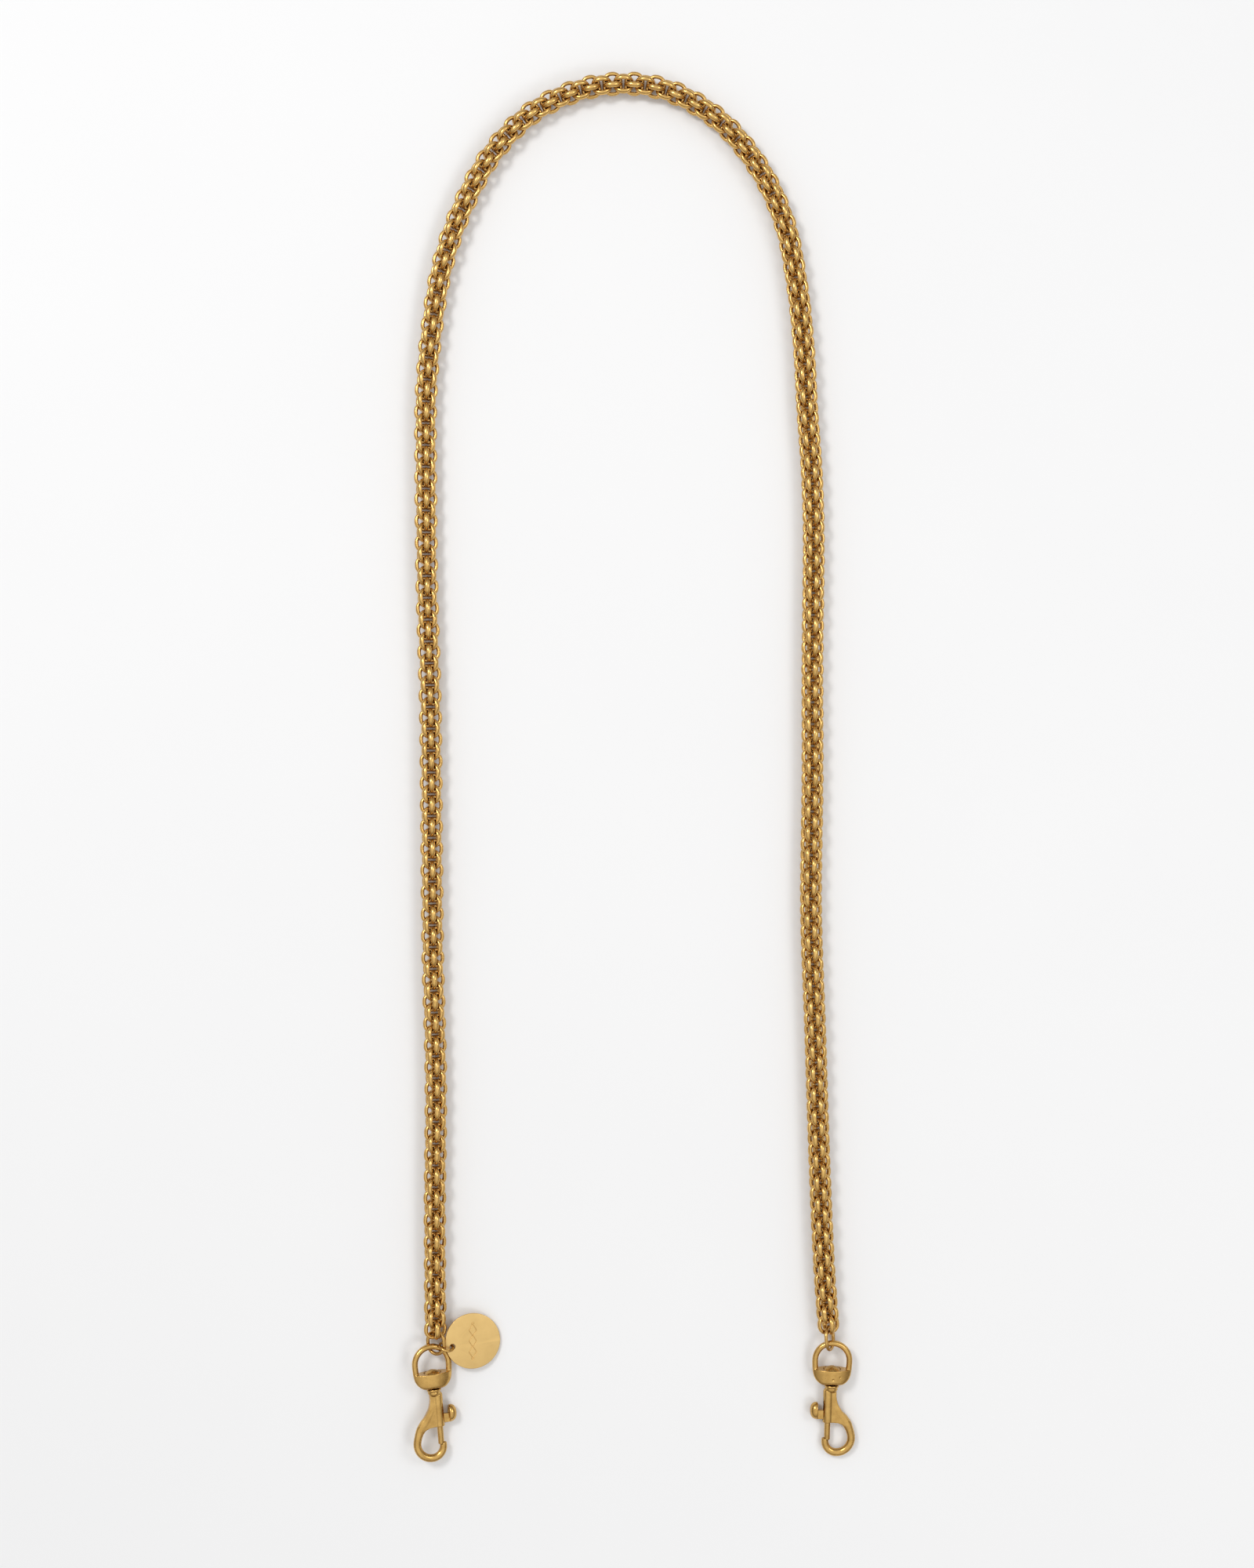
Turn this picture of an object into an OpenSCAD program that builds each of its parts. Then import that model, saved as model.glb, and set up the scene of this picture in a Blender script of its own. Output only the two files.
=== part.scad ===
// Cage-link chain strap with a swivel bolt snap at each end and a round tag.
// The strap lies flat in an arch. X runs to the right, Y runs away from the
// snaps towards the arch, Z is up, and the lowest metal touches Z = 0. The
// origin is the middle of the box round the laid-out strap.

/* [Chain] */
// Number of cage links in one rigid strap segment
links_per_segment = 6; // [6:1:6]
// Number of strap segments from snap to snap
segments = 41; // [41:2:41]
// Diameter of the cage wire
cage_wire_d = 1.76; // [1.5:0.02:1.76]
// Width of a cage link over its bars
cage_width = 9.5; // [9.4:0.02:9.6]
// Half the distance between the crossings of a link, wire centre to wire centre
cage_pole = 3.25; // [3.2:0.01:3.3]
// Height of the chain's axis over the table
chain_z = 4.75; // [4.75:0.05:5]

/* [Swivel eye] */
// Diameter of the eye's bar
eye_wire_d = 2.4; // [2.2:0.1:2.4]
// Width over the eye
eye_width = 16.2; // [16:0.1:16.4]
// Height of the eye from the underside of the saddle to its top
eye_height = 18.1; // [18:0.1:18.3]
// Height of the saddle at its middle
saddle_h = 6.4; // [6:0.1:6.6]
// Thickness of the saddle at its middle
saddle_thick = 7.6; // [7:0.1:7.6]

/* [Hook] */
// Bar diameter of the round hook
hook_wire_d = 2.9; // [2.7:0.05:2.9]
// Outside diameter of the bolt's barrel
barrel_d = 4.0; // [3.9:0.05:4.0]
// Sideways distance from the swivel axis to the bolt axis
bolt_offset = 1.3; // [1.3:0.02:1.4]
// Diameter of the sliding bolt
bolt_d = 2.4; // [2.2:0.05:2.4]
// How far the bolt slides back
bolt_travel = 5.5; // [4:0.1:5.5]
// Radial running clearance of the bolt and the swivel pin
running_gap = 0.06; // [0.04:0.01:0.08]

/* [Connecting links] */
// Wire diameter of a connecting link
link_wire_d = 1.45; // [1.2:0.05:1.45]
// Half the width between the legs, wire centre to wire centre
link_half_w = 3.8; // [3.7:0.05:3.8]
// Length of the straight part of each leg
link_straight = 1.4; // [1.2:0.1:1.4]

/* [Tag] */
// Diameter of the tag
tag_d = 22.4; // [22.2:0.1:22.4]
// Thickness of the tag
tag_t = 0.9; // [0.8:0.05:0.9]
// Diameter of the hole in the tag
tag_hole_d = 2.2; // [2.1:0.05:2.3]
// Distance from the middle of the tag to its hole
tag_hole_r = 8.45; // [8.4:0.05:8.5]
// Wire diameter of the tag's jump ring
ring_wire_d = 1.1; // [0.9:0.05:1.1]
// Radius of the jump ring, wire centre
ring_r = 2.7; // [2.65:0.05:2.7]

/* [Hidden] */
$fn = 48;
brass = [0.72, 0.53, 0.24];
pale_brass = [0.80, 0.64, 0.36];
steel = [0.62, 0.62, 0.60];

links = links_per_segment * segments;

// The line the strap lies on, from the left snap over the arch to the right snap
route = [
  [-80.15, -226.8], [-80.35, -176.8], [-79.95, -126.8], [-81.15, -76.8], [-81.65, -26.8],
  [-82.15, 23.2], [-83.55, 73.2], [-84.05, 125.2], [-83.85, 151.2], [-81.55, 177.2],
  [-77.35, 202.2], [-69.25, 225.7], [-56.95, 248], [-39.15, 265.5], [-14.95, 275],
  [10.45, 274.2], [33.25, 262.2], [50.05, 242.7], [60.85, 219.8], [65.85, 195.2],
  [68.65, 169.7], [70.05, 144.2], [71.85, 119.2], [72.65, 93.2], [72.15, 43.2],
  [72.15, -6.8], [71.55, -56.8], [73.25, -106.8], [74.85, -156.8], [76.85, -201.8], [78.55, -224.8]
];
last = len(route) - 1;
steps = 10;

function span(i) = norm(route[i + 1] - route[i]);
function slope(i) =
  i == 0 ? (route[1] - route[0]) / span(0)
  : i == last ? (route[last] - route[last - 1]) / span(last - 1)
  : (route[i + 1] - route[i - 1]) / (span(i - 1) + span(i));
function along(i, u) =
  (2 * u^3 - 3 * u^2 + 1) * route[i] + (u^3 - 2 * u^2 + u) * span(i) * slope(i)
  + (3 * u^2 - 2 * u^3) * route[i + 1] + (u^3 - u^2) * span(i) * slope(i + 1);
track = concat([for (i = [0:last - 1], k = [0:steps - 1]) along(i, k / steps)], [route[last]]);
reach = [for (i = 0, s = 0; i < len(track);
  s = s + (i < len(track) - 1 ? norm(track[i + 1] - track[i]) : 0), i = i + 1) s];
track_x = [for (i = [0:len(track) - 1]) [reach[i], track[i][0]]];
track_y = [for (i = [0:len(track) - 1]) [reach[i], track[i][1]]];
route_len = reach[len(reach) - 1];
pitch = route_len / (links - 1);

function spot(s) = [
  lookup(s, track_x) + (s < 0 ? s * slope(0)[0] : s > route_len ? (s - route_len) * slope(last)[0] : 0),
  lookup(s, track_y) + (s < 0 ? s * slope(0)[1] : s > route_len ? (s - route_len) * slope(last)[1] : 0)
];
// Direction of the strap at a distance along it, as an angle about Z
function heading(s) = let (d = spot(s + pitch / 2) - spot(s - pitch / 2)) atan2(d[1], d[0]);
// Roll of a link about the strap: an eighth of a turn each, with a slow wander
first_roll = 70;
wander = [[0, 0], [60, 14], [122, 0], [185, -11], [245, -5]];
function roll(i) = first_roll + 45 * i + lookup(i, wander);

// Cage link
cage_r = (cage_width - cage_wire_d) / 2;
pole_half = 0.92;
cage_bend = cage_r - pole_half;

// Left and right snaps: place of the saddle's underside, heading, pitch and roll
left_at = [-80.8, -250.65, 4.8];
left_turn = [1.6, 16, 4.5];
right_at = [79.95, -249.3, 3.9];
right_turn = [4.2, 0, -1.2];
// The left snap is the right one turned over
left_flip = 180;

eye_r = (eye_width - eye_wire_d) / 2;
eye_mid = eye_height - eye_wire_d / 2 - eye_r;
saddle_plan_r = 13.2;
saddle_side_r = 8.1;
saddle_belly_r = 5.5;
seat_depth = 0.5;
seat_d = 7.2;
pin_d = 2.6;
pin_deep = 2.9;
pin_head_d = 6.7;
pin_head_h = 1.7;
pin_head_r = (pow(pin_head_d / 2, 2) + pow(pin_head_h, 2)) / (2 * pin_head_h);
swivel_gap = 0.1;

collar_d = 5.8;
collar_h = 0.9;
bead_d = 4.6;
barrel_end = -15.6;
bore_top = -3.4;
hook_in = [2.5, -22.1];
hook_out_r = 6.0;
hook_bottom = hook_in[1] - hook_out_r;
hook_tip_r = 4.6;
tip_x = hook_in[0] - hook_tip_r;
tip_top = -22.2;
web_t = hook_wire_d + 0.2;
slot_w = 1.8;
slot_top = -5;
slot_end = -14.6;
stem_w = 1.6;
stem_top = -10.8;
stem_end = -14.4;
bolt_top = -10.6;
bolt_tip = -22.8;
socket_deep = 0.75;
knob_in = -5.35;
knob_h = 3.05;
knob_d = 7;
knob_mid = -10.85;
spring_wire_d = 0.28;
spring_turns = 5.5;

// Connecting links: middle, and tilt of the plane of the link about Y
left_link_at = [-79.9, -232.3, 4.9];
left_link_turn = [0, -27, 2.5];
right_link_at = [79.1, -230.45, 4.8];
right_link_turn = [0, 64, 4];

// Tag and its jump ring
tag_at = [-65.2, -232, 3.05];
tag_turn = [0, 11.4, 0];
tag_hole_angle = 193;
ring_at = [-75.62, -233.73, 5.82];
ring_turn = [-70, 0, -16];

segment_names = [for (k = [1:segments]) str("chain_segment_", k < 10 ? "0" : "", k)];

// ---------- chain ----------

module cage_corner() {
  translate([pole_half, cage_pole - cage_bend, 0]) rotate_extrude(angle = 90)
    translate([cage_bend, 0]) circle(d = cage_wire_d);
}

// One of the two crossed rings of a cage link, in the XY plane
module cage_ring() {
  for (a = [0, 1], b = [0, 1]) mirror([a, 0, 0]) mirror([0, b, 0]) cage_corner();
  for (s = [-1, 1]) {
    translate([0, s * cage_pole, 0]) rotate([0, 90, 0])
      cylinder(h = 2 * pole_half, d = cage_wire_d, center = true);
    translate([s * cage_r, 0, 0]) rotate([90, 0, 0])
      cylinder(h = 2 * (cage_pole - cage_bend), d = cage_wire_d, center = true);
  }
}

module cage_link() {
  union() {
    cage_ring();
    rotate([0, 90, 0]) cage_ring();
  }
}

module chain_segment(k) {
  color(brass) for (j = [0:links_per_segment - 1]) {
    i = k * links_per_segment + j;
    s = i * pitch;
    translate([spot(s)[0], spot(s)[1], chain_z]) rotate([0, 0, heading(s) - 90])
      rotate([0, -roll(i), 0]) cage_link();
  }
}

// ---------- connecting links ----------

module bent_link(half_w, straight, wire_d) {
  for (s = [0, 180]) rotate([0, 0, s]) {
    translate([0, straight / 2, 0]) rotate_extrude(angle = 180)
      translate([half_w, 0]) circle(d = wire_d);
    translate([half_w, 0, 0]) rotate([90, 0, 0])
      cylinder(h = straight, d = wire_d, center = true);
  }
}

module connecting_link(at, turn) {
  color(brass) translate(at) rotate([0, 0, turn[2]]) rotate([turn[0], turn[1], 0])
    bent_link(link_half_w, link_straight, link_wire_d);
}

// ---------- snaps, in their own frame: Y up the strap, hook to the right ----------

// Puts a snap's own frame in its place on the table
module placed(at, turn) {
  translate(at) rotate([0, 0, turn[2]]) rotate([turn[0], 0, 0]) rotate([0, turn[1], 0]) children();
}

// A cylinder along Y from y0 to y1
module rod(y0, y1, d) {
  translate([0, y0, 0]) rotate([-90, 0, 0]) cylinder(h = y1 - y0, d = d);
}

module swivel_eye() {
  color(brass) difference() {
    union() {
      translate([0, eye_mid, 0]) rotate_extrude(angle = 180)
        translate([eye_r, 0]) circle(d = eye_wire_d);
      for (s = [-1, 1]) translate([s * eye_r, 0, 0]) rod(saddle_h - 1.2, eye_mid, eye_wire_d);
      saddle();
    }
    translate([0, 0, 0]) rod(-1, saddle_h + 1, pin_d + 2 * running_gap);
    rod(saddle_h - seat_depth, saddle_h + 1, seat_d);
  }
}

module saddle() {
  plan_mid = saddle_plan_r - saddle_thick / 2;
  intersection() {
    translate([0, 0, plan_mid]) rod(0, saddle_h, 2 * saddle_plan_r);
    translate([0, 0, -plan_mid]) rod(0, saddle_h, 2 * saddle_plan_r);
    translate([0, 0, -saddle_thick]) linear_extrude(2 * saddle_thick) intersection() {
      translate([0, 7.3]) circle(r = saddle_side_r);
      translate([-10, 0]) square([20, saddle_h]);
    }
    translate([-10, 5.2, 0]) rotate([0, 90, 0]) cylinder(h = 20, r = saddle_belly_r);
  }
}

module swivel_pin() {
  head_y = saddle_h - seat_depth + 0.05;
  color(brass) union() {
    rod(-pin_deep, head_y + 0.3, pin_d);
    intersection() {
      translate([0, head_y + pin_head_h - pin_head_r, 0]) sphere(r = pin_head_r);
      rod(head_y, head_y + 3, pin_head_d + 2);
    }
  }
}

// Outline of the flat web between the barrel and the round hook
web_outline = [
  [-bolt_offset + 0.3, -2.6], [1.7, -2.6], [2.0, -4.5], [2.3, -6.4], [2.9, -8.2], [3.8, -9.9],
  [5.1, -11.6], [6.6, -13.2], [7.9, -14.9], [8.8, -16.8], [9.2, -18.6], [8.4, -19.8],
  [7.2, -19.4], [6.4, -18.5], [5.5, -17.2], [4.2, -16.0], [2.6, -15.45],
  [-bolt_offset + 0.3, -15.3]
];

module hook_body() {
  color(brass) difference() {
    union() {
      // collar and bead under the saddle
      rod(-swivel_gap - collar_h, -swivel_gap, collar_d);
      rotate([-90, 0, 0]) rotate_extrude() intersection() {
        translate([0, -1.5]) circle(d = bead_d);
        translate([0, -4]) square([bead_d, 4 - swivel_gap - collar_h / 2]);
      }
      // barrel, with a rounded shoulder
      translate([-bolt_offset, 0, 0]) rod(barrel_end, -3.2, barrel_d);
      translate([-bolt_offset, -3.2, 0]) rotate([90, 0, 0]) sphere(d = barrel_d);
      // web
      translate([0, 0, -web_t / 2]) linear_extrude(web_t) polygon(web_outline);
      // round hook
      translate([hook_in[0], hook_in[1], 0]) rotate([0, 0, -90]) rotate_extrude(angle = 130)
        translate([hook_out_r, 0]) circle(d = hook_wire_d);
      translate([hook_in[0], hook_bottom + hook_tip_r, 0]) rotate([0, 0, 180]) rotate_extrude(angle = 90)
        translate([hook_tip_r, 0]) circle(d = hook_wire_d);
      translate([tip_x, 0, 0]) rod(hook_bottom + hook_tip_r, tip_top, hook_wire_d);
    }
    // hole for the swivel pin
    rod(-pin_deep, 1, pin_d);
    // bore for the bolt and its spring
    translate([-bolt_offset, 0, 0]) rod(barrel_end - 1, bore_top, bolt_d + 2 * running_gap);
    // slot for the stem of the knob
    translate([-bolt_offset - 4, slot_end, -slot_w / 2]) cube([3.5, slot_top - slot_end, slot_w]);
    // socket in the tip of the hook
    translate([-bolt_offset, 0, 0]) rod(tip_top - socket_deep, tip_top + 1, bolt_d + 0.2);
  }
}

module bolt() {
  color(brass) difference() {
    translate([-bolt_offset, 0, 0]) rod(bolt_tip, bolt_top, bolt_d);
    stem_block(0);
  }
}

// The rectangular stem that joins the knob to the bolt
module stem_block(grow) {
  translate([knob_in, stem_end - grow, -stem_w / 2 - grow])
    cube([-bolt_offset - 0.1 - knob_in, stem_top - stem_end + 2 * grow, stem_w + 2 * grow]);
}

// Half of a spindle, round across its length, on the stem that moves the bolt
module thumb_knob() {
  half = knob_d / 2;
  arc_r = (pow(half, 2) + pow(knob_h, 2)) / (2 * knob_h);
  color(brass) union() {
    stem_block(0);
    intersection() {
      translate([knob_in, knob_mid, 0]) rotate([-90, 0, 0]) rotate_extrude() intersection() {
        translate([knob_h - arc_r, 0]) circle(r = arc_r);
        translate([0, -half]) square([knob_h, knob_d]);
      }
      translate([knob_in - knob_h, knob_mid - half, -knob_h])
        cube([knob_h, knob_d, 2 * knob_h]);
    }
  }
}

// Coil spring behind the bolt, as a tube of flat-sided rings along a helix
module bolt_spring() {
  coil_r = bolt_d / 2 - spring_wire_d / 2 - 0.05;
  lo = bolt_top + 0.05 + spring_wire_d / 2;
  hi = bore_top - 0.05 - spring_wire_d / 2;
  per_turn = 16;
  sides = 6;
  n = floor(spring_turns * per_turn);
  rings = [for (i = [0:n]) let (a = 360 * i / per_turn, y = lo + (hi - lo) * i / n)
    [for (j = [0:sides - 1]) let (b = 360 * j / sides, r = coil_r + spring_wire_d / 2 * cos(b))
      [-bolt_offset + r * cos(a), y + spring_wire_d / 2 * sin(b), r * sin(a)]]];
  points = [for (ring = rings) for (p = ring) p];
  walls = [for (i = [0:n - 1], j = [0:sides - 1]) let (q = (j + 1) % sides)
    [i * sides + j, i * sides + q, (i + 1) * sides + q, (i + 1) * sides + j]];
  caps = [[for (j = [sides - 1:-1:0]) j], [for (j = [0:sides - 1]) n * sides + j]];
  color(steel) polyhedron(points, concat(walls, caps));
}

// ---------- tag ----------

module tag() {
  color(pale_brass) translate(tag_at) rotate(tag_turn) difference() {
    cylinder(h = tag_t, d = tag_d, center = true, $fn = 96);
    rotate([0, 0, tag_hole_angle]) translate([tag_hole_r, 0, 0])
      cylinder(h = 2 * tag_t, d = tag_hole_d, center = true);
  }
}

module tag_jump_ring() {
  color(brass) translate(ring_at) rotate([0, 0, ring_turn[2]]) rotate([ring_turn[0], ring_turn[1], 0])
    rotate_extrude() translate([ring_r, 0]) circle(d = ring_wire_d);
}

// ---------- what is drawn ----------

module left() { placed(left_at, left_turn) rotate([0, left_flip, 0]) children(); }
module right() { placed(right_at, right_turn) children(); }

connecting_link(left_link_at, left_link_turn);  // left_connecting_link
left() swivel_eye();  // left_swivel_eye
left() swivel_pin();  // left_swivel_pin
left() hook_body();  // left_hook_body
left() bolt();  // left_bolt
left() thumb_knob();  // left_thumb_knob
left() bolt_spring();  // left_bolt_spring
connecting_link(right_link_at, right_link_turn);  // right_connecting_link
right() swivel_eye();  // right_swivel_eye
right() swivel_pin();  // right_swivel_pin
right() hook_body();  // right_hook_body
right() bolt();  // right_bolt
right() thumb_knob();  // right_thumb_knob
right() bolt_spring();  // right_bolt_spring
tag_jump_ring();
tag();
for (k = [0:segments - 1])
  chain_segment(k);
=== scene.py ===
"""Looks of the cage-link chain strap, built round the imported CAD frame."""

import math

import bmesh
import bpy
import numpy as np
from mathutils import Matrix, Vector


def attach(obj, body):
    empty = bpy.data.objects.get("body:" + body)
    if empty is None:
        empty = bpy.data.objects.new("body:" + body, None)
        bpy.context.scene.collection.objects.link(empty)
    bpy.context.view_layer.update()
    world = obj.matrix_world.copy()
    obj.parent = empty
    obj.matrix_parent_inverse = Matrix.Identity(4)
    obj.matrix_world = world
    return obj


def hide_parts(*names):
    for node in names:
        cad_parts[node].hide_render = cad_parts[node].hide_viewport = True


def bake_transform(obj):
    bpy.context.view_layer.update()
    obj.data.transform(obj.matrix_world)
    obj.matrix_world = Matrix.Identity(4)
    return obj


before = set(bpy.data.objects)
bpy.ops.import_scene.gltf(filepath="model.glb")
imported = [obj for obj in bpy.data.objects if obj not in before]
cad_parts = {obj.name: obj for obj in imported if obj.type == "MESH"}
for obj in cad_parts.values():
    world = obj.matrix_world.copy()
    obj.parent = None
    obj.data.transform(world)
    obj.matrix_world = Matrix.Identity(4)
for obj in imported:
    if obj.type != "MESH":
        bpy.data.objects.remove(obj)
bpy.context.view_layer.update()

MM = 0.001
LINKS_PER_SEGMENT = 6
SEGMENTS = 41
CHAIN_Z = 4.75


# ---------- small mesh tools; shapes are made in millimetres ----------

def new_object(name, verts, faces):
    mesh = bpy.data.meshes.new(name)
    mesh.from_pydata([tuple(v) for v in verts], [], [tuple(f) for f in faces])
    mesh.validate()
    obj = bpy.data.objects.new(name, mesh)
    bpy.context.scene.collection.objects.link(obj)
    bm = bmesh.new()
    bm.from_mesh(mesh)
    bmesh.ops.recalc_face_normals(bm, faces=bm.faces)
    bm.to_mesh(mesh)
    bm.free()
    return obj


def drop(obj):
    mesh = obj.data
    bpy.data.objects.remove(obj)
    bpy.data.meshes.remove(mesh)


def apply_modifiers(obj):
    graph = bpy.context.evaluated_depsgraph_get()
    mesh = bpy.data.meshes.new_from_object(obj.evaluated_get(graph))
    obj.modifiers.clear()
    obj.data = mesh
    return obj


def join(name, objs):
    """One object with the meshes of several, which go."""
    verts, faces = [], []
    for o in objs:
        start = len(verts)
        verts += [o.matrix_world @ v.co for v in o.data.vertices]
        faces += [[start + i for i in p.vertices] for p in o.data.polygons]
    for o in objs:
        drop(o)
    return new_object(name, verts, faces)


def boolean(obj, tools, operation):
    for tool in tools:
        mod = obj.modifiers.new("cut", "BOOLEAN")
        mod.object, mod.operation, mod.solver = tool, operation, "MANIFOLD"
        bpy.context.view_layer.update()
        apply_modifiers(obj)
        drop(tool)
    return obj


def melt(obj, voxel, rounds, factor=0.5):
    """Joins overlapping shells into one skin and softens its edges."""
    mod = obj.modifiers.new("melt", "REMESH")
    mod.mode, mod.voxel_size = "VOXEL", voxel
    bpy.context.view_layer.update()
    apply_modifiers(obj)
    mod = obj.modifiers.new("soften", "SMOOTH")
    mod.factor, mod.iterations = factor, rounds
    bpy.context.view_layer.update()
    return apply_modifiers(obj)


def blend(obj, centres, reach, rounds):
    """Softens a cast piece further, only close to the given points."""
    bm = bmesh.new()
    bm.from_mesh(obj.data)
    near = [v for v in bm.verts if min((v.co - Vector(c)).length for c in centres) < reach]
    for _ in range(rounds):
        bmesh.ops.smooth_vert(bm, verts=near, factor=0.5, use_axis_x=True, use_axis_y=True,
                              use_axis_z=True)
    bm.to_mesh(obj.data)
    bm.free()
    return obj


def smooth_shade(obj, angle=None):
    obj.data.polygons.foreach_set("use_smooth", [True] * len(obj.data.polygons))
    if angle is not None:
        bm = bmesh.new()
        bm.from_mesh(obj.data)
        for e in bm.edges:
            e.smooth = len(e.link_faces) == 2 and e.calc_face_angle(0) < math.radians(angle)
        bm.to_mesh(obj.data)
        bm.free()
    return obj


def bands(rings, sides, closed=False):
    """Faces that skin a row of rings of points; open rows also get end caps."""
    faces = []
    for i in range(rings if closed else rings - 1):
        j = (i + 1) % rings
        for k in range(sides):
            q = (k + 1) % sides
            faces.append((i * sides + k, i * sides + q, j * sides + q, j * sides + k))
    if not closed:
        faces.append(tuple(range(sides)))
        faces.append(tuple((rings - 1) * sides + k for k in range(sides)))
    return faces


def tube(name, path, radii, sides, closed, normal=(0, 0, 1)):
    """A tube along a flat path. radii gives (in the plane, across it) at each point."""
    n, b = len(path), np.array(normal, float)
    pts = np.array(path, float)
    verts = []
    for i in range(n):
        if closed:
            t = pts[(i + 1) % n] - pts[i - 1]
        else:
            t = pts[min(i + 1, n - 1)] - pts[max(i - 1, 0)]
        t /= np.linalg.norm(t)
        side = np.cross(t, b)
        ra, rb = radii[i]
        for k in range(sides):
            a = 2 * math.pi * k / sides
            verts.append(pts[i] + side * ra * math.cos(a) + b * rb * math.sin(a))
    return new_object(name, verts, bands(n, sides, closed))


def lathe(name, profile, sides, squash=1.0):
    """A solid of revolution about Y; profile is [(radius, y), ...] from end to end."""
    verts = []
    for r, y in profile:
        for k in range(sides):
            a = 2 * math.pi * k / sides
            verts.append((r * math.cos(a), y, r * math.sin(a) * squash))
    return new_object(name, verts, bands(len(profile), sides))


def rounded_rod(r, y0, y1, bevel, steps=4):
    """Profile of a rod with rounded ends."""
    low = [(r - bevel + bevel * math.sin(a), y0 + bevel - bevel * math.cos(a))
           for a in np.linspace(0, math.pi / 2, steps + 1)]
    high = [(r - bevel + bevel * math.cos(a), y1 - bevel + bevel * math.sin(a))
            for a in np.linspace(0, math.pi / 2, steps + 1)]
    return low + high


def slab(name, outline, thick):
    n = len(outline)
    verts = [(x, y, -thick / 2) for x, y in outline] + [(x, y, thick / 2) for x, y in outline]
    faces = [tuple(range(n - 1, -1, -1)), tuple(range(n, 2 * n))]
    faces += [(i, (i + 1) % n, n + (i + 1) % n, n + i) for i in range(n)]
    return new_object(name, verts, faces)


def block(name, low, high):
    (x0, y0, z0), (x1, y1, z1) = low, high
    verts = [(x, y, z) for z in (z0, z1) for x, y in ((x0, y0), (x1, y0), (x1, y1), (x0, y1))]
    faces = [(3, 2, 1, 0), (4, 5, 6, 7), (0, 1, 5, 4), (1, 2, 6, 5), (2, 3, 7, 6), (3, 0, 4, 7)]
    return new_object(name, verts, faces)


def curve_through(points, steps):
    """Catmull-Rom line through the points, open."""
    pts = [np.array(p, float) for p in points]
    out = []
    for i in range(len(pts) - 1):
        p0, p1 = pts[max(i - 1, 0)], pts[i]
        p2, p3 = pts[i + 1], pts[min(i + 2, len(pts) - 1)]
        for k in range(steps):
            u = k / steps
            out.append(0.5 * (2 * p1 + (p2 - p0) * u + (2 * p0 - 5 * p1 + 4 * p2 - p3) * u ** 2
                              + (3 * p1 - p0 - 3 * p2 + p3) * u ** 3))
    out.append(pts[-1])
    return out


def arc(cx, cy, r, a0, a1, steps):
    return [(cx + r * math.cos(math.radians(a)), cy + r * math.sin(math.radians(a)), 0)
            for a in np.linspace(a0, a1, steps + 1)]


# ---------- materials ----------

def add(tree, kind, **values):
    n = tree.nodes.new(kind)
    for key, value in values.items():
        if key in n.inputs:
            n.inputs[key].default_value = value
        else:
            setattr(n, key, value)
    return n


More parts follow.
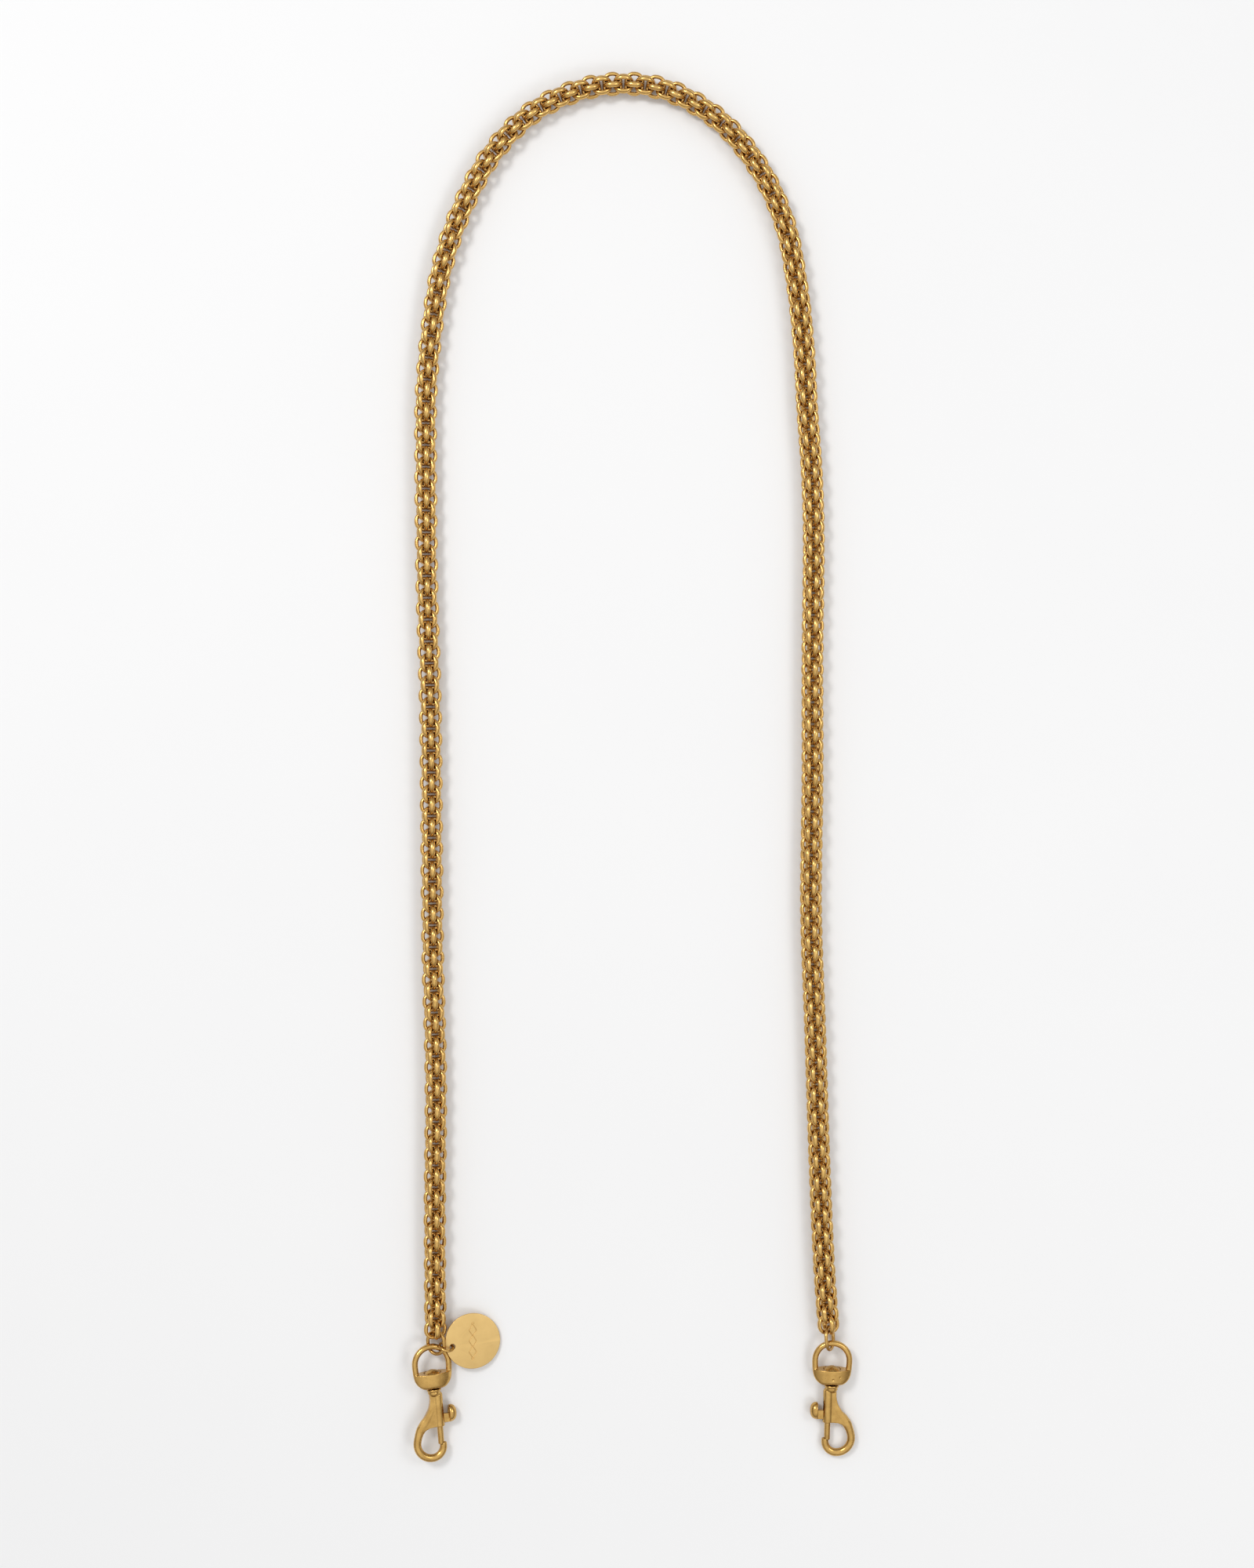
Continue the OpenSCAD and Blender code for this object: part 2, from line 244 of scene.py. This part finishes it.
def brass(name, light, dark, rough, spots=420.0, grain=5200.0, bump=0.18, brushed=False):
    """Tumbled antique brass: clouded colour, painted shade in hollows and gaps, paler worn edges,
    fine pits.
    """
    mat = bpy.data.materials.new(name)
    mat.use_nodes = True
    tree = mat.node_tree
    tree.nodes.clear()
    link = tree.links.new
    out = add(tree, "ShaderNodeOutputMaterial")
    bsdf = add(tree, "ShaderNodeBsdfPrincipled", Metallic=1.0)
    link(bsdf.outputs[0], out.inputs[0])
    where = add(tree, "ShaderNodeTexCoord")

    def noise(scale, detail, roughness=0.55, stretch=None):
        n = add(tree, "ShaderNodeTexNoise", Scale=scale, Detail=detail, Roughness=roughness)
        if stretch:
            m = add(tree, "ShaderNodeMapping", Scale=stretch)
            link(where.outputs["Object"], m.inputs["Vector"])
            link(m.outputs[0], n.inputs["Vector"])
        else:
            link(where.outputs["Object"], n.inputs["Vector"])
        return n

    def ramp(source, low, high, to_low=0.0, to_high=1.0):
        r = add(tree, "ShaderNodeMapRange")
        r.inputs["From Min"].default_value, r.inputs["From Max"].default_value = low, high
        r.inputs["To Min"].default_value, r.inputs["To Max"].default_value = to_low, to_high
        link(source, r.inputs["Value"])
        return r.outputs["Result"]

    def mix(factor, a, b):
        m = add(tree, "ShaderNodeMix", data_type="RGBA")
        for socket, value in ((m.inputs["Factor"], factor), (m.inputs[6], a), (m.inputs[7], b)):
            if isinstance(value, bpy.types.NodeSocket):
                link(value, socket)
            else:
                socket.default_value = value
        return m.outputs[2]

    cloud = noise(spots, 3.0)
    mottle = noise(spots * 5, 4.0)
    pits = noise(grain, 3.0, 0.6)
    occl = add(tree, "ShaderNodeAmbientOcclusion", Distance=0.0014, samples=8)
    edge = add(tree, "ShaderNodeNewGeometry")

    deep = 0.12 if brushed else 0.32
    mid = tuple((1 - deep) * a + deep * b for a, b in zip(light, dark)) + (1.0,)
    clouded = mix(ramp(cloud.outputs["Fac"], 0.36, 0.66), mid, light + (1.0,))
    specks = ramp(mottle.outputs["Fac"], 0.55, 0.8, 0.0, 0.06 if brushed else 0.2)
    speckled = mix(specks, clouded, dark + (1.0,))
    # painted shade: the colour is drawn towards the dark colour where ambient occlusion finds
    # other surfaces close by, in hollows, between crossing bars and near the floor
    painted_shade = ramp(occl.outputs["AO"], 0.16, 0.74, 1.0, 0.0)
    with_painted_shade = mix(painted_shade, speckled, dark + (1.0,))
    worn = tuple(min(1.0, c * 1.14) for c in light) + (1.0,)
    link(mix(ramp(edge.outputs["Pointiness"], 0.52, 0.6, 0.0, 0.6), with_painted_shade, worn),
         bsdf.inputs["Base Color"])

    if brushed:
        strokes = noise(900.0, 4.0, 0.6, stretch=(1.0, 14.0, 1.0))
        link(ramp(strokes.outputs["Fac"], 0.3, 0.7, rough - 0.05, rough + 0.09),
             bsdf.inputs["Roughness"])
        height = strokes.outputs["Fac"]
    else:
        link(ramp(mottle.outputs["Fac"], 0.3, 0.7, rough - 0.05, rough + 0.08),
             bsdf.inputs["Roughness"])
        height = pits.outputs["Fac"]
    relief = add(tree, "ShaderNodeBump", Strength=bump, Distance=0.00004)
    link(height, relief.inputs["Height"])
    link(relief.outputs[0], bsdf.inputs["Normal"])
    return mat


# the second colour of each brass is that of its dark specks and of the shade painted into its
# hollows and gaps
CHAIN_BRASS = brass("chain_brass", (0.76, 0.48, 0.158), (0.20, 0.08, 0.007), 0.23)
SNAP_BRASS = brass("snap_brass", (0.68, 0.425, 0.135), (0.23, 0.10, 0.014), 0.22, spots=260.0)
WIRE_BRASS = brass("wire_brass", (0.66, 0.41, 0.135), (0.22, 0.095, 0.014), 0.26)
BOLT_BRASS = brass("bolt_brass", (0.64, 0.40, 0.13), (0.24, 0.11, 0.018), 0.24, bump=0.12)
TAG_BRASS = brass("tag_brass", (0.80, 0.55, 0.22), (0.38, 0.21, 0.055), 0.36, spots=150.0,
                  bump=0.14, brushed=True)


def steel(name):
    mat = bpy.data.materials.new(name)
    mat.use_nodes = True
    tree = mat.node_tree
    bsdf = tree.nodes["Principled BSDF"]
    bsdf.inputs["Metallic"].default_value = 1.0
    where = add(tree, "ShaderNodeTexCoord")
    drawn = add(tree, "ShaderNodeTexNoise", Scale=2600.0, Detail=3.0)
    tree.links.new(where.outputs["Object"], drawn.inputs["Vector"])
    tint = add(tree, "ShaderNodeMapRange")
    tint.inputs["To Min"].default_value, tint.inputs["To Max"].default_value = 0.25, 0.42
    tree.links.new(drawn.outputs["Fac"], tint.inputs["Value"])
    tree.links.new(tint.outputs["Result"], bsdf.inputs["Roughness"])
    shade = add(tree, "ShaderNodeMix", data_type="RGBA")
    shade.inputs[6].default_value = (0.42, 0.41, 0.38, 1)
    shade.inputs[7].default_value = (0.62, 0.61, 0.58, 1)
    tree.links.new(drawn.outputs["Fac"], shade.inputs["Factor"])
    tree.links.new(shade.outputs[2], bsdf.inputs["Base Color"])
    return mat


SPRING_STEEL = steel("spring_steel")


def put(obj, name, body, nodes, material, matrix, shade=None):
    """Sets a finished piece in its place and ties it to its body."""
    obj.name = obj.data.name = name
    obj.data.transform(matrix)
    obj.data.materials.clear()
    obj.data.materials.append(material)
    smooth_shade(obj, shade)
    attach(obj, body)
    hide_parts(*nodes)
    return obj


# ---------- where the parts lie ----------

SCALE = Matrix.Scale(MM, 4)


def placed(at, turn, flip=False):
    """The frame of a part: turned about Y, then X, then Z, and moved into place."""
    m = (Matrix.Translation(Vector(at) * MM) @ Matrix.Rotation(math.radians(turn[2]), 4, "Z")
         @ Matrix.Rotation(math.radians(turn[0]), 4, "X")
         @ Matrix.Rotation(math.radians(turn[1]), 4, "Y"))
    if flip:
        m = m @ Matrix.Rotation(math.pi, 4, "Y")
    return m @ SCALE


SNAPS = {
    "left": placed((-80.8, -250.65, 4.8), (1.6, 16, 4.5), flip=True),
    "right": placed((79.95, -249.3, 3.9), (4.2, 0, -1.2)),
}

ROUTE = [
    (-80.15, -226.8), (-80.35, -176.8), (-79.95, -126.8), (-81.15, -76.8), (-81.65, -26.8),
    (-82.15, 23.2), (-83.55, 73.2), (-84.05, 125.2), (-83.85, 151.2), (-81.55, 177.2),
    (-77.35, 202.2), (-69.25, 225.7), (-56.95, 248), (-39.15, 265.5), (-14.95, 275),
    (10.45, 274.2), (33.25, 262.2), (50.05, 242.7), (60.85, 219.8), (65.85, 195.2),
    (68.65, 169.7), (70.05, 144.2), (71.85, 119.2), (72.65, 93.2), (72.15, 43.2),
    (72.15, -6.8), (71.55, -56.8), (73.25, -106.8), (74.85, -156.8), (76.85, -201.8),
    (78.55, -224.8),
]


def lay_route(steps=10):
    """The strap's line as (distance, x, y) arrays, as part.scad draws it."""
    p = np.array(ROUTE, float)
    span = np.linalg.norm(np.diff(p, axis=0), axis=1)
    slope = np.empty_like(p)
    slope[0], slope[-1] = (p[1] - p[0]) / span[0], (p[-1] - p[-2]) / span[-1]
    slope[1:-1] = (p[2:] - p[:-2]) / (span[:-1] + span[1:])[:, None]
    out = []
    for i, length in enumerate(span):
        for u in np.arange(steps) / steps:
            out.append((2 * u ** 3 - 3 * u ** 2 + 1) * p[i]
                       + (u ** 3 - 2 * u ** 2 + u) * length * slope[i]
                       + (3 * u ** 2 - 2 * u ** 3) * p[i + 1]
                       + (u ** 3 - u ** 2) * length * slope[i + 1])
    track = np.array(out + [p[-1]])
    reach = np.concatenate([[0], np.cumsum(np.linalg.norm(np.diff(track, axis=0), axis=1))])
    return reach, track, slope


REACH, TRACK, SLOPE = lay_route()
PITCH = REACH[-1] / (LINKS_PER_SEGMENT * SEGMENTS - 1)


def spot(s):
    p = np.array([np.interp(s, REACH, TRACK[:, 0]), np.interp(s, REACH, TRACK[:, 1])])
    if s < 0:
        p += s * SLOPE[0]
    if s > REACH[-1]:
        p += (s - REACH[-1]) * SLOPE[-1]
    return p


def link_matrix(i):
    s = i * PITCH
    ahead = spot(s + PITCH / 2) - spot(s - PITCH / 2)
    heading = math.atan2(ahead[1], ahead[0])
    roll = 70 + 45 * i + np.interp(i, (0, 60, 122, 185, 245), (0, 14, 0, -11, -5))
    x, y = spot(s)
    return (Matrix.Translation((x * MM, y * MM, CHAIN_Z * MM))
            @ Matrix.Rotation(heading - math.pi / 2, 4, "Z")
            @ Matrix.Rotation(-math.radians(roll), 4, "Y") @ SCALE)


# ---------- chain ----------

def cage_ring(across):
    """One ring of a cage link: thin at the poles, with flattened, wider bars."""
    half, pole, bend, out_r = 0.92, 3.25, 2.95, 3.92
    path = []
    for sx, sy, a0 in ((1, 1, 0), (-1, 1, 90), (-1, -1, 180), (1, -1, 270)):
        for a in np.linspace(a0, a0 + 90, 9):
            c, s = math.cos(math.radians(a)), math.sin(math.radians(a))
            path.append((sx * half + (out_r - half) * c, sy * (pole - bend) + bend * s))
        if sy * sx > 0:
            path.append((0, sy * pole))
    radii = []
    for x, y in path:
        w = min(1.0, abs(x) / out_r)
        w = w * w * (3 - 2 * w)
        radii.append((0.86 - 0.06 * w, 0.84 + 0.24 * w))
    if across:
        return tube("ring", [(0, y, x) for x, y in path], radii, 14, True, normal=(1, 0, 0))
    return tube("ring", [(x, y, 0) for x, y in path], radii, 14, True)


cage = boolean(cage_ring(False), [cage_ring(True)], "UNION")
cage_verts = np.array([v.co for v in cage.data.vertices])
cage_faces = [list(p.vertices) for p in cage.data.polygons]
drop(cage)

for k in range(SEGMENTS):
    verts, faces = [], []
    for j in range(LINKS_PER_SEGMENT):
        m = np.array(link_matrix(k * LINKS_PER_SEGMENT + j))
        start = len(verts)
        verts += list(cage_verts @ m[:3, :3].T + m[:3, 3])
        faces += [[start + i for i in f] for f in cage_faces]
    node = f"chain_segment_{k + 1:02d}"
    put(new_object("links", verts, faces), f"cage_links_{k + 1:02d}", node, [node],
        CHAIN_BRASS, Matrix.Identity(4))


# ---------- snaps, in their own frame: Y up the strap, hook to +X, knob to -X ----------

BOLT_X, BOLT_R, BOLT_TIP, BOLT_TOP = -1.3, 1.2, -22.8, -10.6
BORE_R, BORE_TOP, PIN_R = 1.26, -3.4, 1.3
EYE_R, EYE_Y, EYE_WIRE_R = 6.9, 10.0, 1.2
SADDLE_TOP = 6.4
BARREL_R, BARREL_END = 2.0, -15.6
HOOK_X, HOOK_Y, HOOK_R = 2.5, -22.1, 6.0
WEB_THICK = 2.75
CAST_VOXEL = 0.15


def move_to_bolt(obj):
    obj.data.transform(Matrix.Translation((BOLT_X, 0, 0)))
    return obj


def swivel_eye():
    """The bow of the eye, run into a boat-shaped saddle that carries the rivet."""
    leg = [(EYE_R - 0.42 * u * u, 9.4 - 4.8 * u, 0) for u in np.linspace(1, 0, 6)]
    bow = leg + arc(0, EYE_Y, EYE_R, 0, 180, 36) + [(-x, y, z) for x, y, z in reversed(leg)]
    eye = tube("bow", bow, [(EYE_WIRE_R, EYE_WIRE_R)] * len(bow), 20, False)
    # the saddle is steep at its ends and rounded underneath
    rows, across, verts = 26, 96, []
    for i in range(rows + 1):
        y = SADDLE_TOP * i / rows
        side = 7.75 * (1 - (1 - (y + 0.55) / 6.95) ** 2.6) ** 0.5
        belly = math.sqrt(max(0.0, 5.5 ** 2 - (y - 5.2) ** 2))
        for k in range(across):
            a = 2 * math.pi * k / across
            x = side * math.cos(a)
            lens = math.sqrt(13.2 ** 2 - x ** 2) - 9.4
            z = 1.0 / (lens ** -8 + belly ** -8) ** 0.125
            z *= math.copysign(abs(math.sin(a)) ** 0.3, math.sin(a))
            verts.append((x, y, z))
    saddle = new_object("saddle", verts, bands(rows + 1, across))
    obj = melt(join("eye", [eye, saddle]), CAST_VOXEL, 5)
    blend(obj, [(x, y, 0) for x in (-7.5, 7.5) for y in (4.0, 5.6, 6.6)], 1.9, 10)
    seat = lathe("seat", [(3.3, 5.9), (3.6, 6.2), (3.75, 7.4)], 48)
    bore = lathe("bore", [(1.36, -1), (1.36, 7)], 32)
    obj = boolean(obj, [seat, bore], "DIFFERENCE")
    # two dimples on the front
    for x, y, r in ((0.3, 2.9, 0.6), (3.1, 3.9, 0.46)):
        for v in obj.data.vertices:
            if v.co.z > 1.5:
                d = math.hypot(v.co.x - x, v.co.y - y)
                if d < r:
                    v.co.z -= 0.3 * (1 - (d / r) ** 2) ** 2
    return obj


def swivel_pin():
    """The rivet: a shank and a domed head that sits in the saddle."""
    head_y, r, h = 5.95, 3.35, 1.7
    big = (r * r + h * h) / (2 * h)
    dome = [(math.sqrt(max(0.0, big * big - (y - h + big) ** 2)), head_y + y)
            for y in h * (1 - np.linspace(1, 0.02, 14) ** 2)]
    profile = [(PIN_R - 0.15, -2.9), (PIN_R, -2.7), (PIN_R, head_y), (3.2, head_y),
               (3.33, head_y + 0.06)]
    return lathe("pin", profile + [p for p in dome if p[1] > head_y + 0.12], 48)


def hook_body():
    """Collar, bead, barrel, web and round hook, cast in one."""
    web = [(-1.2, -2.4), (1.75, -2.5), (2.0, -4.5), (2.3, -6.4), (2.9, -8.2), (3.85, -9.9),
           (5.05, -11.6), (6.4, -13.2), (7.3, -14.5)]
    inner = [(6.6, -16.4), (5.5, -16.9), (4.3, -16.3), (3.2, -15.8), (1.8, BARREL_END),
             (-1.2, BARREL_END)]
    outline = curve_through(web, 4) + curve_through(inner, 4)
    parts = [slab("web", [(p[0], p[1]) for p in outline], WEB_THICK)]
    shoulder = [(BARREL_R * math.cos(a), -3.2 + BARREL_R * math.sin(a))
                for a in np.linspace(0, 1.5, 9)]
    barrel = lathe("barrel", [(1.85, BARREL_END), (BARREL_R, BARREL_END + 0.2)] + shoulder, 40)
    parts.append(move_to_bolt(barrel))
    parts.append(lathe("collar", rounded_rod(2.9, -1.0, -0.1, 0.22), 48))
    bead = [(2.5 * math.sin(a), -1.8 - 1.6 * math.cos(a)) for a in np.linspace(0.05, 2.6, 22)]
    parts.append(lathe("bead", bead, 40))
    neck = curve_through([(1.4, -9.0, 0), (3.0, -11.7, 0), (4.85, -14.0, 0), (6.6, -16.2, 0),
                          (7.62, -18.3, 0), (8.2, -20.1, 0)], 6)
    line = neck + arc(HOOK_X, HOOK_Y, HOOK_R, 14, -90, 24)
    line += arc(HOOK_X, -23.5, 4.6, -90, -180, 18)[1:]
    line += [(-2.1, y, 0) for y in (-23.2, -22.8, -22.4, -22.25)]
    n = len(line)
    radii = []
    for i, (_, y, _) in enumerate(line):
        u = i / (n - 1)
        fat = 1.52 + 0.08 * math.sin(math.pi * u) - 0.12 * max(0.0, u - 0.8) * 5
        if i >= n - 2:
            fat -= 0.22 if i == n - 1 else 0.06
        wide = np.interp(y, (-20.1, -18.3, -16.2, -14.0, -11.7, -9.0),
                         (fat, 1.66, 1.95, 2.1, 1.7, 1.0)) if i < len(neck) else fat
        radii.append((wide, fat * 0.97))
    parts.append(tube("hook", line, radii, 24, False))
    obj = melt(join("hook", parts), CAST_VOXEL, 6)
    blend(obj, [(5.6, -16.6, 0), (7.0, -15.4, 0), (6.8, -17.2, 0)], 2.2, 20)
    blend(obj, [(x, y, z) for x, y in ((2.9, -8.2), (3.85, -9.9), (5.05, -11.6), (6.4, -13.2))
                for z in (-1.3, 1.3)], 1.3, 14)
    cuts = [lathe("pin_hole", [(PIN_R, -3.0), (PIN_R, 1.0)], 32)]
    for name, r, y0, y1 in (("bore", BORE_R, BARREL_END - 1, BORE_TOP),
                            ("socket", 1.3, -22.95, -21.2)):
        cuts.append(move_to_bolt(lathe(name, [(r, y0), (r, y1)], 32)))
    cuts.append(block("slot", (BOLT_X - 4, -14.6, -0.9), (BOLT_X - 0.5, -5.0, 0.9)))
    return boolean(obj, cuts, "DIFFERENCE")


def bolt():
    """The sliding bolt, with the seat of the knob's stem cut in its side."""
    obj = move_to_bolt(lathe("bolt", rounded_rod(BOLT_R, BOLT_TIP, BOLT_TOP, 0.28), 36))
    keyway = block("keyway", (-5.35, -14.4, -0.8), (BOLT_X - 0.1, -10.8, 0.8))
    return boolean(obj, [keyway], "DIFFERENCE")


def thumb_knob():
    """A half-moon cap with a rolled rim and a dished face, on its stem."""
    dome = [(3.42 * math.cos(a) ** 0.8, 6.1 + 2.35 * math.sin(a)) for a in np.linspace(0, 1.5, 16)]
    cap = lathe("cap", [(0.4, 5.95), (1.8, 5.85), (2.6, 5.5), (2.95, 5.3), (3.25, 5.4),
                        (3.4, 5.7)] + dome, 48, squash=0.81)
    cap.data.transform(Matrix.Translation((0, -10.92, 0)) @ Matrix.Rotation(math.pi / 2, 4, "Z"))
    stem = block("stem", (-6.2, -14.35, -0.8), (BOLT_X - 0.1, -10.8, 0.8))
    return melt(join("knob", [cap, stem]), 0.12, 3)


SPRING_LOW, SPRING_HIGH = -10.41, -3.59
SPRING_R, SPRING_WIRE_R, SPRING_TURNS = 1.01, 0.14, 5.5


def coil_spring():
    """The spring behind the bolt, at its resting length."""
    line = []
    for u in np.linspace(0, 1, 155):
        a = 2 * math.pi * SPRING_TURNS * u
        line.append((BOLT_X + SPRING_R * math.cos(a),
                     SPRING_LOW + (SPRING_HIGH - SPRING_LOW) * u, SPRING_R * math.sin(a)))
    radii = [(SPRING_WIRE_R, SPRING_WIRE_R)] * len(line)
    return tube("spring", line, radii, 10, False, normal=(0, 1, 0))


# label, maker, body, nodes, material, slot, angle of the edges that stay sharp
MAKERS = (
    ("swivel_eye", swivel_eye, "eye", ["swivel_eye"], SNAP_BRASS, "snaps", 42),
    ("swivel_rivet", swivel_pin, "hook", ["swivel_pin"], BOLT_BRASS, "bolts", 40),
    ("snap_hook", hook_body, "hook", ["hook_body"], SNAP_BRASS, "snaps", 42),
    ("slide_bolt", bolt, "bolt", ["bolt"], BOLT_BRASS, "bolts", 40),
    ("knob", thumb_knob, "bolt", ["thumb_knob"], SNAP_BRASS, "snaps", 42),
)
for label, make, body, nodes, material, slot, shade in MAKERS:
    right = make()
    left = right.copy()
    left.data = right.data.copy()
    bpy.context.scene.collection.objects.link(left)
    for side, obj in (("left", left), ("right", right)):
        put(obj, f"{side}_{label}", f"{side}_{body}", [f"{side}_{n}" for n in nodes],
            material, SNAPS[side], shade)

for side in ("left", "right"):
    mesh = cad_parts[f"{side}_connecting_link"].data
    mesh.materials.clear()
    mesh.materials.append(WIRE_BRASS)
    # the spring sits between the hook's bore and the bolt, as a fixed mesh at its resting length,
    # tied to no body
    spring = coil_spring()
    spring.name = spring.data.name = f"{side}_coil_spring"
    spring.data.transform(SNAPS[side])
    spring.data.materials.append(SPRING_STEEL)
    smooth_shade(spring, 50)
    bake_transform(spring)
    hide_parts(f"{side}_bolt_spring")


# ---------- tag and its ring ----------

TAG_R, TAG_THICK, TAG_HOLE_R = 11.2, 0.9, 1.1
TAG_HOLE_AT, TAG_HOLE_ANGLE = 8.45, 193
TAG_PLACE = placed((-65.2, -232, 3.05), (0, 11.4, 0))
RING_R, RING_WIRE_R, RING_GAP = 2.7, 0.55, 2.5
RING_PLACE = placed((-75.62, -233.73, 5.82), (-70, 0, -16))


def ornament():
    """Thin engraving tools: a row of three linked lozenges with a dot at each end."""
    tools = []
    for k in range(3):
        y = 4.4 * (k - 1)
        corners = [(0, y + 2.5), (1.5, y), (0, y - 2.5), (-1.5, y)]
        path = []
        for a, b in zip(corners, corners[1:] + corners[:1]):
            path += [(a[0] + (b[0] - a[0]) * t, a[1] + (b[1] - a[1]) * t, 0.49)
                     for t in np.linspace(0, 1, 6)[:-1]]
        tools.append(tube("line", path, [(0.2, 0.2)] * len(path), 8, True))
    for y in (-6.6, 6.6):
        path = [(0.45 * math.cos(a), y * 1.06 + 0.45 * math.sin(a), 0.49)
                for a in np.linspace(0, 2 * math.pi, 17)[:-1]]
        tools.append(tube("dot", path, [(0.18, 0.18)] * len(path), 8, True))
    return tools


def tag():
    """The round tag, its hole broken at both edges, with the ornament engraved."""
    upright = Matrix.Rotation(math.pi / 2, 4, "X")
    obj = lathe("tag", rounded_rod(TAG_R, -TAG_THICK / 2, TAG_THICK / 2, 0.2), 128)
    obj.data.transform(upright)
    a = math.radians(TAG_HOLE_ANGLE)
    wide = TAG_HOLE_R + 0.35
    hole = lathe("hole", [(wide, -0.8), (TAG_HOLE_R, -0.28), (TAG_HOLE_R, 0.28), (wide, 0.8)], 36)
    there = Matrix.Translation((TAG_HOLE_AT * math.cos(a), TAG_HOLE_AT * math.sin(a), 0))
    hole.data.transform(there @ upright)
    return boolean(obj, [hole] + ornament(), "DIFFERENCE")


put(tag(), "hang_tag", "tag", ["tag"], TAG_BRASS, TAG_PLACE, 30)

ring_path = arc(0, 0, RING_R, 200 + RING_GAP, 560 - RING_GAP, 56)
ring = tube("ring", ring_path, [(RING_WIRE_R, RING_WIRE_R)] * len(ring_path), 16, False)
put(ring, "jump_ring", "tag_ring", ["tag_jump_ring"], WIRE_BRASS, RING_PLACE, 40)


# ---------- floor, light and camera ----------

FLOOR_HALF, FLOOR_Z = 3, -0.00008
corners = [(x * FLOOR_HALF, y * FLOOR_HALF, 0) for x, y in ((-1, -1), (1, -1), (1, 1), (-1, 1))]
floor = new_object("floor", corners, [(0, 1, 2, 3)])
floor.location.z = FLOOR_Z
paper = bpy.data.materials.new("pale_paper")
paper.use_nodes = True
tree = paper.node_tree
bsdf = tree.nodes["Principled BSDF"]
bsdf.inputs["Roughness"].default_value = 0.9
bsdf.inputs["Specular IOR Level"].default_value = 0.15
where = add(tree, "ShaderNodeTexCoord")
fibre = add(tree, "ShaderNodeTexNoise", Scale=9.0, Detail=3.0)
tree.links.new(where.outputs["Object"], fibre.inputs["Vector"])
shade = add(tree, "ShaderNodeMix", data_type="RGBA")
shade.inputs[6].default_value = (0.92, 0.92, 0.922, 1)
shade.inputs[7].default_value = (0.94, 0.94, 0.94, 1)
tree.links.new(fibre.outputs["Fac"], shade.inputs["Factor"])
tree.links.new(shade.outputs[2], bsdf.inputs["Base Color"])
floor.data.materials.append(paper)

world = bpy.data.worlds.new("studio")
bpy.context.scene.world = world
world.use_nodes = True
tree = world.node_tree
tree.nodes.clear()
link = tree.links.new
out = add(tree, "ShaderNodeOutputWorld")
where = add(tree, "ShaderNodeTexCoord")
axes = add(tree, "ShaderNodeSeparateXYZ")
link(where.outputs["Generated"], axes.inputs[0])
height = add(tree, "ShaderNodeValToRGB")
stops = ((0.0, (0.30, 0.27, 0.24)), (0.5, (0.16, 0.13, 0.10)), (0.62, (0.34, 0.31, 0.28)),
         (0.82, (0.74, 0.73, 0.72)), (1.0, (1.04, 1.04, 1.04)))
ramp = height.color_ramp
for pos, _ in stops[1:-1]:
    ramp.elements.new(pos)
for element, (pos, colour) in zip(ramp.elements, stops):
    element.position, element.color = pos, colour + (1,)
half = add(tree, "ShaderNodeMath", operation="MULTIPLY_ADD")
half.inputs[1].default_value, half.inputs[2].default_value = 0.5, 0.5
link(axes.outputs["Z"], half.inputs[0])
link(half.outputs[0], height.inputs["Fac"])
seen = add(tree, "ShaderNodeBackground", Strength=1.0)
link(height.outputs["Color"], seen.inputs["Color"])
plain = add(tree, "ShaderNodeBackground", Strength=0.58)
plain.inputs["Color"].default_value = (1.0, 1.0, 1.0, 1)
rays = add(tree, "ShaderNodeLightPath")
choose = add(tree, "ShaderNodeMixShader")
link(rays.outputs["Is Glossy Ray"], choose.inputs[0])
link(plain.outputs[0], choose.inputs[1])
link(seen.outputs[0], choose.inputs[2])
link(choose.outputs[0], out.inputs[0])


def area_light(name, place, aim, size, power):
    lamp = bpy.data.lights.new(name, "AREA")
    lamp.energy, lamp.size, lamp.shape = power, size, "DISK"
    obj = bpy.data.objects.new(name, lamp)
    bpy.context.scene.collection.objects.link(obj)
    obj.location = place
    obj.rotation_mode = "QUATERNION"
    obj.rotation_quaternion = (Vector(aim) - Vector(place)).to_track_quat("-Z", "Y")
    return obj


# the last lamp lightens the table only; it doesn't show as a reflection in the metal
area_light("key", (-0.70, 0.62, 1.30), (0, 0, 0), 0.46, 8.2)
area_light("fill", (0.85, 0.25, 1.1), (0, 0, 0), 0.5, 2.2)
area_light("table_fill", (0.72, -0.75, 1.2), (0, -0.1, 0), 0.5, 3.0).visible_glossy = False

camera = bpy.data.cameras.new("camera")
camera.sensor_width, camera.lens = 36.0, 51.77
camera.clip_start, camera.clip_end = 0.01, 20.0
eye = bpy.data.objects.new("camera", camera)
bpy.context.scene.collection.objects.link(eye)
eye.location = (-0.00275, -0.0068, 0.915)
bpy.context.scene.camera = eye

bpy.context.scene.view_settings.view_transform = "Standard"
